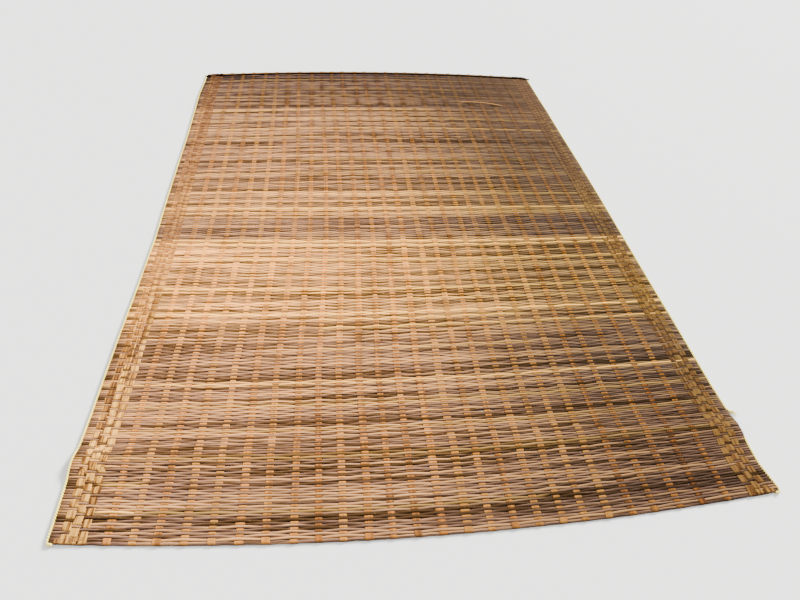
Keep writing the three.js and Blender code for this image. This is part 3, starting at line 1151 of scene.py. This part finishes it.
@dataclass
class WovenStrip:
    """One flat strip woven lengthwise through the reeds, wrapped round both ends of the mat.

    The wraps are lists of places past the first or last reed and heights, in millimetres.
    """

    plan: MatPlan
    node: str
    weave: Weave
    room: float
    inward: float | None = None
    side: Side | None = None
    over_stick: bool = False
    stain: Pair | None = None
    second_hue: float = 0.0
    seed: int = 3
    thick: float = 1.0 * MM
    crown: float = 0.5 * MM
    rise: float = 2.75 * MM
    pitch: float = 7.1 * MM
    shoulder: float = 0.31
    shoulder_high: float = 0.78
    between_high: float = 0.9
    slow: float = 60
    wobble: float = 0.7 * MM
    skew: float = 0.9 * MM
    jitter: float = 0.45 * MM
    block_reach: float = 1.5
    width_spread: float = 0.05
    waist: float = 0.14
    shade_spread: float = 0.12
    shade_drift: float = 0.15
    fold: float = 0.16
    soil: float = 0.22
    soil_from: float = 0.93
    soil_before: float = 0.14
    soil_rise: float = -0.2
    stain_depth: float = 0.72
    hue_from: float = -0.75
    hue_blend: float = 0.35
    hue_most: float = 0.75
    line: StripLine = field(init=False)
    lies: np.ndarray = field(init=False)

    NEAR_WRAP = ((0.0, -3.5), (-2.5, -2.7), (-3.9, 0.0))
    TUCK = 0.6
    TUCKED = -3.6
    LAST_OVER = (4.1, 0.0)
    LAST_UNDER = (4.1, -3.5)
    UNDER_STICK = ((5.6, -3.3), (8.0, -3.85), (12.0, -3.85), (15.0, -2.6), (15.9, 2.6), (17.0, 7.4))
    OVER_STICK = ((4.4, 4.6), (6.9, 7.8), (10.1, 8.4), (13.3, 8.8), (16.8, 9.2))
    LAST_WRAP = ((20.2, 9.9), (23.4, 8.4), (24.8, 5.0), (23.6, 1.6), (20.3, 0.2))

    def __post_init__(self) -> None:
        """Read the strip's line and draw its way past each reed."""
        self.line = StripLine(self.node)
        self.lies = self.weave.lies(self.plan.reeds)
        self.lies[0] = Lie.OVER.value

    def centre_x(self, y: np.ndarray) -> np.ndarray:
        """Give the x of the strip's centre line.

        Args:
            y: Places along the mat.

        Returns:
            The x at each place.
        """
        if self.side is None:
            return np.interp(y, self.line.y, self.line.x)
        return self.plan.side_x(self.side, y) - self.side.value * self.inward

    def _woven(self) -> np.ndarray:
        """List the strip's stations at the reeds.

        Returns:
            For each station the reed, the distance past it and the height.
        """
        before = np.concatenate([self.lies[:1], self.lies[:-1]])
        after = np.concatenate([self.lies[1:], self.lies[-1:]])
        rows = np.arange(self.plan.reeds, dtype=float)
        turn_in = np.where(before == self.lies, 1.0, self.shoulder_high)
        turn_out = np.where(after == self.lies, 1.0, self.shoulder_high)
        boundary = (before + self.lies) / 2 * self.between_high
        reed = np.stack([rows - 0.5, rows - self.shoulder, rows, rows + self.shoulder], axis=1)
        high = np.stack([boundary, self.lies * turn_in, self.lies, self.lies * turn_out], axis=1)
        reed, high = reed.ravel()[1:], high.ravel()[1:] * self.rise
        high[0] = self.shoulder_high * self.rise
        return np.stack([reed, np.zeros_like(reed), high], axis=1)

    def _stations(self) -> np.ndarray:
        """List all stations from the tucked near tail to the hook at the far end.

        Returns:
            For each station the reed, the distance past it and the height.
        """
        last = self.plan.reeds - 1
        first_down = int(np.argmax(self.lies < 0))
        tail = [(first_down - self.TUCK, 0.0, self.TUCKED * MM)]
        near = tail + [(0.0, past * MM, high * MM) for past, high in self.NEAR_WRAP]
        turn = self.LAST_OVER if self.lies[-1] > 0 else self.LAST_UNDER
        beyond = self.OVER_STICK if self.over_stick else (turn, *self.UNDER_STICK)
        far = [(last, past * MM, high * MM) for past, high in (*beyond, *self.LAST_WRAP)]
        return np.concatenate([np.array(near), self._woven(), np.array(far)])

    @staticmethod
    def _block_middles(block: np.ndarray) -> np.ndarray:
        """Give, for each reed, the middle of the run of reeds that the strip passes in one go."""
        sums = np.bincount(block, np.arange(len(block)))
        return (sums / np.bincount(block))[block]

    def _tone(self, rng: np.random.Generator, y: np.ndarray, block: np.ndarray) -> np.ndarray:
        """Draw the strip's tone, which is duller towards the far end.

        Args:
            rng: The source of chance.
            y: The stations' places along the mat.
            block: The number of each station's run of reeds.

        Returns:
            The tone at each station.
        """
        shade = rng.normal(0, self.shade_spread, block.max() + 1)[block]
        rising = self.soil_before * np.clip(y - self.soil_rise, 0, 1)
        soiled = self.soil * (y > self.soil_from) + rising
        drift = self.shade_drift * soft_noise(rng, (len(y),), (self.slow,))
        return 0.5 + shade + drift - soiled

    def _second_hue(self, y: np.ndarray) -> np.ndarray:
        """Say how far the strip has its finish's second hue.

        Args:
            y: The stations' places along the mat.

        Returns:
            The share at each station, all of it where a field strip is wrapped round the far end.
        """
        if self.side is Side.LEFT:
            return np.clip((y - self.hue_from) / self.hue_blend, 0, 1) * self.hue_most
        hue = np.full(len(y), self.second_hue)
        if self.side is None:
            hue[-len(self.LAST_WRAP) - 2 :] = 1.0
        return hue

    def build(self, material: Material, slot: str) -> Piece:
        """Build the strip.

        Args:
            material: Its material.
            slot: The record's material slot.

        Returns:
            The strip.
        """
        plan = self.plan
        rng = np.random.default_rng(self.seed)
        reed, past, high = self._stations().T
        count = len(reed)
        distance = reed * self.pitch + past
        run, climb = np.gradient(distance), np.gradient(high)
        length = np.hypot(run, climb)
        normal_y, normal_z = -climb / length, run / length
        middle_y = plan.level_y(reed, np.full(count, self.line.x.mean())) + past
        row = np.clip(np.round(reed), 0, plan.reeds - 1).astype(int)
        blocks = np.cumsum(np.diff(self.lies, prepend=self.lies[0]) != 0)
        in_block = reed - self._block_middles(blocks)[row]
        in_block = in_block.clip(-self.block_reach, self.block_reach)
        block, total = blocks[row], blocks[-1] + 1
        centre = self.centre_x(middle_y) + soft_noise(rng, (count,), (self.slow,)) * self.wobble
        centre += rng.normal(0, self.jitter, total)[block]
        centre += rng.normal(0, 1, total)[block] * self.skew * in_block
        # How far the strip sinks between reeds: it narrows there and gets painted shade there.
        deep = (1 - np.abs(high) / self.rise).clip(0, 1)
        spread = 1 + rng.normal(0, self.width_spread, total)[block] - self.waist * deep
        half = self.line.wide / 2 * spread
        lateral = np.array([-1.0, -1.0, 0.0, 1.0, 1.0])
        lifted = np.array([-0.5, 0.5, 0.5, 0.5, -0.5]) * self.thick
        lifted[2] += self.crown
        template = tube(len(lateral), count)
        ring, corner = template.ring, template.corner
        x = centre[ring] + lateral[corner] * half[ring]
        y = plan.row_y(reed[ring], x) + past[ring]
        z = plan.middle_z + plan.ridge.lift(x, y) + high[ring] + normal_z[ring] * lifted[corner]
        y = y + normal_y[ring] * lifted[corner]
        tone = self._tone(rng, middle_y, block)
        folded = rng.normal(0, self.fold, total)[block] * in_block
        tone = (tone[ring] + folded[ring] * lateral[corner]).clip(0.0, 1.0)
        if self.stain:
            stained = (middle_y > self.stain[0]) & (middle_y < self.stain[1])
            deep = np.where(stained, deep.clip(self.stain_depth), deep)
        hue = self._second_hue(middle_y)
        values = {"tone": tone[None], "pale": hue[ring][None], "deep": deep[ring][None]}
        places = np.stack([x, y, z], axis=1)[None]
        strip = template.build(f"{self.node}_woven", places, **values)
        strip.data.set_sharp_from_angle(angle=CREASE)
        dress(strip, material, slot, self.node)
        return strip


@dataclass
class EdgeTail:
    """The loose end of a border strip, laid along the near edge out to the corner."""

    plan: MatPlan
    side: Side
    outer: float = 0.914
    inner: float = 0.845
    half_wide: float = 5.1 * MM
    thick: float = 0.1
    high: float = 3.5 * MM
    drop: float = 3.2 * MM
    drop_share: float = 0.2
    reeds: tuple[float, ...] = (0.15, 0.3, 1.2)
    pale: float = 0.2
    rings: int = 14

    def build(self, material: Material) -> Piece:
        """Build the tail.

        Args:
            material: Its material.

        Returns:
            The piece.
        """
        share = np.linspace(0, 1, self.rings)
        x = self.side.value * (self.outer + (self.inner - self.outer) * share)
        reed = np.interp(share, [0, 0.5, 1], self.reeds)
        high = self.high - self.drop * np.clip(1 - share / self.drop_share, 0, 1) ** 2
        centres = np.stack([x, self.plan.row_y(reed, x), self.plan.middle_z + high], axis=1)[None]
        section = np.array([(1, -self.thick), (1, self.thick), (-1, self.thick), (-1, -self.thick)])
        template = tube(len(section), self.rings)
        places = template.sweep(centres, np.full((1, self.rings), self.half_wide), section)
        tone = np.full((1, len(template.ring)), 0.5)
        values = {"tone": tone, "pale": np.full_like(tone, self.pale), "deep": np.zeros_like(tone)}
        tail = template.build(f"{self.side.name.lower()}_edge_tail", places, **values)
        tail.data.set_sharp_from_angle(angle=CREASE)
        dress(tail, material, "border_strip")
        return tail


@dataclass
class StripSet:
    """All the lengthwise strips: the spaced ones of the field and the close ones of the borders."""

    plan: MatPlan
    field_strips: int = 26
    field_room: float = 31 * MM
    field_seed: int = 100
    border_room: float = 12 * MM
    border_starts: tuple[int, ...] = (0, 2, 3)
    border_seeds: dict[Side, int] = field(default_factory=lambda: {Side.LEFT: 200, Side.RIGHT: 300})
    gold_most: float = 0.6
    right_hue: float = 0.6
    stained: str = "left_border_3"
    stain: Pair = (-0.70, -0.46)
    seed: int = 8

    def strips(self) -> list[WovenStrip]:
        """List the strips.

        Returns:
            Those of the field from left to right, then those of the borders from the outside in.
        """
        rng = np.random.default_rng(self.seed)
        made = [
            WovenStrip(
                self.plan,
                f"field_strip_{number:02d}",
                Weave(over=1, under=1, first=number % 2),
                self.field_room,
                second_hue=float(rng.uniform(0.0, self.gold_most)),
                seed=self.field_seed + number,
            )
            for number in range(1, self.field_strips + 1)
        ]
        for side in Side:
            made += [self._border(side, *start) for start in enumerate(self.border_starts, 1)]
        return made

    def _border(self, side: Side, number: int, first: int) -> WovenStrip:
        """Set out one border strip.

        Args:
            side: The side of the mat.
            number: The strip's number, 1 for the outer one.
            first: Where its weave starts.

        Returns:
            The strip.
        """
        node = f"{side.name.lower()}_border_{number}"
        line = StripLine(node)
        return WovenStrip(
            self.plan,
            node,
            Weave(over=3, under=1, first=first),
            self.border_room,
            inward=abs(float(self.plan.side_x(side, line.y[0])) - line.x[0]),
            side=side,
            over_stick=side is Side.LEFT and number == 1,
            stain=self.stain if node == self.stained else None,
            second_hue=self.right_hue,
            seed=self.border_seeds[side] + number,
        )


@dataclass
class SideCord:
    """Two plies twined over and under every reed's end, down one side and round the near corner."""

    plan: MatPlan
    side: Side
    out: float = 3.6 * MM
    ply_radius: float = 2.2 * MM
    sway: float = 1.4 * MM
    swing: float = 2.5 * MM
    half_turn: float = 7.06 * MM
    steps_per_reed: int = 4
    corner_radius: float = 6 * MM
    corner_steps: int = 6
    tail: float = 7 * MM
    tail_steps: int = 8
    corners: int = 6

    def run(self, first: float, last: float) -> np.ndarray:
        """List the cord's centre points along the side.

        Args:
            first: The row that it starts at, at its far end.
            last: The row that it ends at.

        Returns:
            The points, from far to near.
        """
        rows = np.linspace(first, last, int(abs(first - last) * self.steps_per_reed) + 1)
        x, y = self.plan.side_at_row(self.side, rows)
        x = x + self.side.value * self.out
        z = self.plan.middle_z + self.plan.ridge.lift(x, y)
        return np.stack([x, y, z], axis=1)

    def turned(self, run: np.ndarray) -> np.ndarray:
        """Lead a run round the near corner and along the short tail.

        Args:
            run: The cord's run down the side.

        Returns:
            The points of both.
        """
        start, sign = run[-1], -self.side.value
        edge_x = start[0] + sign * self.corner_radius
        drop = start[1] - (np.polyval(self.plan.near_curve, edge_x) - self.out)
        angle = np.linspace(0, math.pi / 2, self.corner_steps + 1)[1:]
        x = start[0] + sign * self.corner_radius * (1 - np.cos(angle))
        y = start[1] - drop * np.sin(angle)
        tail_x = np.linspace(x[-1], x[-1] + sign * self.tail, self.tail_steps + 1)[1:]
        tail_y = np.polyval(self.plan.near_curve, tail_x) - self.out
        x, y = np.concatenate([x, tail_x]), np.concatenate([y, tail_y])
        corner = np.stack([x, y, np.full(len(x), self.plan.middle_z)], axis=1)
        return np.concatenate([run, corner])

    def twined(self, name: str, line: np.ndarray, material: Material, node: str) -> Piece:
        """Twine two plies along a line.

        Args:
            name: The piece's name.
            line: The cord's centre points.
            material: The cord's material.
            node: The CAD node that the piece replaces.

        Returns:
            The piece.
        """
        step = np.linalg.norm(np.diff(line, axis=0), axis=1)
        turn = np.concatenate([[0], np.cumsum(step)]) / self.half_turn * math.pi
        along = np.gradient(line, axis=0)
        along /= np.linalg.norm(along, axis=1, keepdims=True)
        sideways = np.cross(UPWARDS, along)
        upper = np.cross(along, sideways)
        plies = []
        for phase in (0.0, math.pi):
            swing = np.cos(turn + phase)[:, None] * upper * self.swing
            plies.append(line + swing + np.sin(turn + phase)[:, None] * sideways * self.sway)
        template = tube(self.corners, len(line))
        radii = np.full((2, len(line)), self.ply_radius)
        piece = template.build(name, template.sweep(np.array(plies), radii))
        return dress(piece, material, "side_cord", node)


@dataclass(frozen=True)
class Fray:
    """How the loose fibres of a broken end spread: their angles in radians and their lengths."""

    angles: Pair
    lengths: Pair


@dataclass
class CordSet:
    """Both side cords, with the stretch that is missing on the right and its frayed ends."""

    plan: MatPlan
    first_row: float = 0.6
    missing_from: float = -1.170
    missing_to: float = -1.066
    loose_end: tuple[Triple, ...] = ((3, -7, 0.1), (9, -12, 0.3), (16, -13, 0.3))
    loose_steps: int = 12
    tuft_fibres: int = 26
    far_fibres: int = 17
    far_fray: Fray = Fray(angles=(-1.9, 0.3), lengths=(9 * MM, 20 * MM))
    near_fray: Fray = Fray(angles=(1.1, 2.2), lengths=(4 * MM, 9 * MM))
    bend: float = 0.9
    rooted: float = 0.7 * MM
    arch: Pair = (-1.5 * MM, 3.5 * MM)
    rest_z: float = 0.8 * MM
    sag: float = 0.8
    lowest: float = 0.6 * MM
    seed: int = 5

    def build(self, material: Material) -> list[Piece]:
        """Build the cords and the tuft.

        Args:
            material: The cord's material.

        Returns:
            The pieces.
        """
        plan = self.plan
        left, right = SideCord(plan, Side.LEFT), SideCord(plan, Side.RIGHT)
        last = plan.reeds - 1
        edge = float(plan.side_x(Side.RIGHT, self.missing_to))
        stop, resume = (plan.reed_at(y, edge) for y in (self.missing_to, self.missing_from))
        left_line = left.turned(left.run(last, self.first_row))
        far_line = self._loosened(right.run(last, stop))
        near_line = right.turned(right.run(resume, self.first_row))
        return [
            left.twined("left_side_cord", left_line, material, "left_cord"),
            right.twined("right_side_cord_far", far_line, material, "right_cord_far"),
            right.twined("right_side_cord_near", near_line, material, "right_cord_near"),
            self._tuft(far_line[-1], near_line[0], material),
        ]

    def _loosened(self, run: np.ndarray) -> np.ndarray:
        """Let a run end in a short loose length that lies out on the floor.

        Args:
            run: The cord's run down the side.

        Returns:
            The points of both.
        """
        points = np.concatenate([run[-1:], run[-1] + np.array(self.loose_end) * MM])
        last = len(self.loose_end)
        steps = np.linspace(0, last, self.loose_steps + 1)[1:]
        loose = [np.interp(steps, range(last + 1), points[:, i]) for i in range(3)]
        return np.concatenate([run, np.stack(loose, axis=1)])

    def _tuft(self, far_end: np.ndarray, near_end: np.ndarray, material: Material) -> Piece:
        """Fan loose fibres out of the two broken ends.

        Args:
            far_end: Where the far cord ends.
            near_end: Where the near cord starts.
            material: The cord's material.

        Returns:
            The tuft.
        """
        rng = np.random.default_rng(self.seed)
        share = np.linspace(0, 1, 6)
        radius = np.interp(share, [0, 0.7, 1], [0.5, 0.35, 0.1]) * MM
        lines = []
        for number in range(self.tuft_fibres):
            at_far = number < self.far_fibres
            root, fray = (far_end, self.far_fray) if at_far else (near_end, self.near_fray)
            angle = rng.uniform(*fray.angles)
            reach = rng.uniform(*fray.lengths) * share
            turned = angle + rng.uniform(-self.bend, self.bend) * share
            start = root + rng.normal(0, 1, 3) * self.rooted
            arch = rng.uniform(*self.arch) * np.sin(share * math.pi)
            z = start[2] + (self.rest_z - start[2]) * share * self.sag + arch
            x = start[0] + reach * np.cos(turned)
            y = start[1] + reach * np.sin(turned)
            lines.append(np.stack([x, y, z.clip(self.lowest)], axis=1))
        template = tube(4, len(share))
        radii = np.tile(radius, (self.tuft_fibres, 1))
        tuft = template.build("frayed_tuft", template.sweep(np.array(lines), radii))
        return dress(tuft, material, "side_cord")


@dataclass(frozen=True)
class Rod:
    """One rod across the far end: its piece, its CAD node and its sizes."""

    name: str
    node: str
    slot: str
    inward: float
    lift: float
    radius: float
    corners: int
    pale: float


@dataclass
class FarEnd:
    """The dark stick and the pale last reed at the far end."""

    plan: MatPlan
    field_to_outline: float = 21.6 * MM
    wander: float = 0.2 * MM
    lumps: float = 0.03
    end_share: float = 0.88
    tone_spread: float = 0.15
    rings: int = 120
    seed: int = 9
    stick: Rod = Rod(
        "dark_stick", "end_stick", "dark_stick", 14.6 * MM, 0.0, 5 * MM, corners=10, pale=0.0
    )
    reed: Rod = Rod(
        "pale_last_reed", "last_reed", "pale_reed", 4.6 * MM, 4 * MM, 4 * MM, corners=8, pale=0.75
    )

    def build(self, stick: Material, reed: Material) -> list[Piece]:
        """Build the stick and the last reed, each in its own material."""
        rng = np.random.default_rng(self.seed)
        return [self._laid(self.stick, rng, stick), self._laid(self.reed, rng, reed)]

    def _laid(self, rod: Rod, rng: np.random.Generator, material: Material) -> Piece:
        """Lay a slightly uneven rod across the far end, between the ends of its CAD node.

        Args:
            rod: The rod.
            rng: The source of chance.
            material: The rod's material.

        Returns:
            The piece.
        """
        low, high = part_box(rod.node)
        x = np.linspace(low.x, high.x, self.rings)
        uneven = soft_noise(rng, (self.rings,), (3,)) * self.wander
        y = np.polyval(self.plan.far_curve, x) + self.field_to_outline - rod.inward + uneven
        z = np.full(self.rings, low.z + rod.radius + rod.lift)
        template = tube(rod.corners, self.rings)
        radii = rod.radius * (1 + self.lumps * soft_noise(rng, (self.rings,), (2,)))[None]
        radii[0, [0, -1]] *= self.end_share
        places = template.sweep(np.stack([x, y, z], axis=1)[None], radii)
        tone = 0.5 + self.tone_spread * soft_noise(rng, (self.rings,), (4,))
        tone = tone[template.ring][None]
        piece = template.build(rod.name, places, tone=tone, pale=np.full_like(tone, rod.pale))
        return dress(piece, material, rod.slot, rod.node)


@dataclass
class LooseReed:
    """A thin pale reed that has sprung out of the weave and lies bowed above it."""

    plan: MatPlan
    left: Pair = (0.46, 1.012)
    right: Pair = (0.70, 0.962)
    bow: float = 6 * MM
    lift: float = 3.4 * MM
    arch: float = 7 * MM
    radius: float = 1.9 * MM
    tone: float = 0.7
    pale: float = 0.95
    rings: int = 24

    def build(self, material: Material) -> Piece:
        """Build the reed.

        Args:
            material: Its material.

        Returns:
            The piece.
        """
        share = np.linspace(0, 1, self.rings)
        bowed = np.sin(share * math.pi)
        x = self.left[0] + (self.right[0] - self.left[0]) * share
        y = self.left[1] + (self.right[1] - self.left[1]) * share + self.bow * bowed
        z = self.plan.middle_z + self.lift + self.arch * bowed**0.8
        template = tube(6, self.rings)
        radii = (self.radius * np.interp(share, [0, 0.06, 0.8, 1], [0.5, 1, 0.9, 0.4]))[None]
        places = template.sweep(np.stack([x, y, z], axis=1)[None], radii)
        tone = np.full((1, len(template.ring)), self.tone)
        piece = template.build("loose_reed", places, tone=tone, pale=np.full_like(tone, self.pale))
        return dress(piece, material, "pale_reed")


@dataclass(frozen=True)
class Studio:
    """The pale floor, the soft light and the camera at the photograph's angle, in degrees."""

    place: Triple = (-0.2429, -2.0782, 1.4234)
    pitch: float = 42.5
    roll: float = 4.087
    yaw: float = 8.392
    lens: float = 27.32
    sensor: float = 36.0
    floor_reach: float = 9.0
    sky: float = 2.31
    sun_power: float = 20.3
    sun_spread: float = 16.0
    sun_rise: float = 28.0
    sun_turn: float = 48.0

    def build(self) -> None:
        """Set up the floor, the lights and the camera."""
        self._floor()
        self._light()
        self._camera()

    def _floor(self) -> None:
        """Lay the floor, which isn't part of the mat."""
        shape = bmesh.new()
        bmesh.ops.create_grid(shape, x_segments=1, y_segments=1, size=self.floor_reach)
        mesh = bpy.data.meshes.new("studio_floor")
        shape.to_mesh(mesh)
        shape.free()
        mesh.materials.append(FloorFinish().material())
        floor = link("studio_floor", mesh)

    def _light(self) -> None:
        """Light the scene from all round, and softly from the far right."""
        world = bpy.data.worlds.new("studio_sky")
        world.use_nodes = True
        sky = world.node_tree.nodes["Background"]
        sky.inputs["Color"].default_value = (1.0, 1.0, 1.0, 1.0)
        sky.inputs["Strength"].default_value = self.sky
        bpy.context.scene.world = world
        lamp = bpy.data.lights.new("soft_window", "SUN")
        lamp.energy = self.sun_power
        lamp.angle = math.radians(self.sun_spread)
        window = link("soft_window", lamp)
        rise, around = math.radians(self.sun_rise), math.radians(self.sun_turn)
        window.rotation_euler = (math.pi / 2 - rise, 0.0, math.pi - around)

    def _camera(self) -> None:
        """Set the camera at the photograph's angle."""
        pitch, roll, yaw = (math.radians(angle) for angle in (self.pitch, self.roll, self.yaw))
        level = np.array([math.cos(yaw), -math.sin(yaw), 0.0])
        ahead = np.array([math.sin(yaw), math.cos(yaw), 0.0])
        forward = ahead * math.cos(pitch) - UPWARDS * math.sin(pitch)
        upper = ahead * math.sin(pitch) + UPWARDS * math.cos(pitch)
        right = level * math.cos(roll) + upper * math.sin(roll)
        top = upper * math.cos(roll) - level * math.sin(roll)
        data = bpy.data.cameras.new("photo_camera")
        data.sensor_width = self.sensor
        data.lens = self.lens
        camera = link("photo_camera", data)
        turn = Matrix(np.stack([right, top, -forward], axis=1).tolist()).to_4x4()
        turn.translation = self.place
        camera.matrix_world = turn
        bpy.context.scene.camera = camera


def report(pieces: list[Piece]) -> None:
    """Log each piece and how many faces it has."""
    for piece in pieces:
        log.info("%s: %d faces", piece.name, len(piece.data.polygons))


def main() -> None:
    """Build the mat, piece by piece, and the studio round it."""
    logging.basicConfig(level=logging.INFO, format="%(name)s: %(message)s")
    plan = MatPlan()
    strips = StripSet(plan).strips()
    plan.press(strips)
    for gap in OPEN_GAPS:
        plan.open_gap(gap)
    report(ReedField(plan).build(REED_FINISH.material()))
    finishes = {
        "field_strip": FIELD_STRIP_FINISH.material(),
        "border_strip": BORDER_STRIP_FINISH.material(),
    }
    for strip in strips:
        slot = "field_strip" if strip.side is None else "border_strip"
        report([strip.build(finishes[slot], slot)])
    report([EdgeTail(plan, side).build(finishes["border_strip"]) for side in Side])
    report(CordSet(plan).build(TwineFinish().material()))
    pale = PALE_REED_FINISH.material()
    report(FarEnd(plan).build(DARK_STICK_FINISH.material(), pale))
    report([LooseReed(plan).build(pale)])
    Studio().build()


if __name__ == "__main__":
    main()
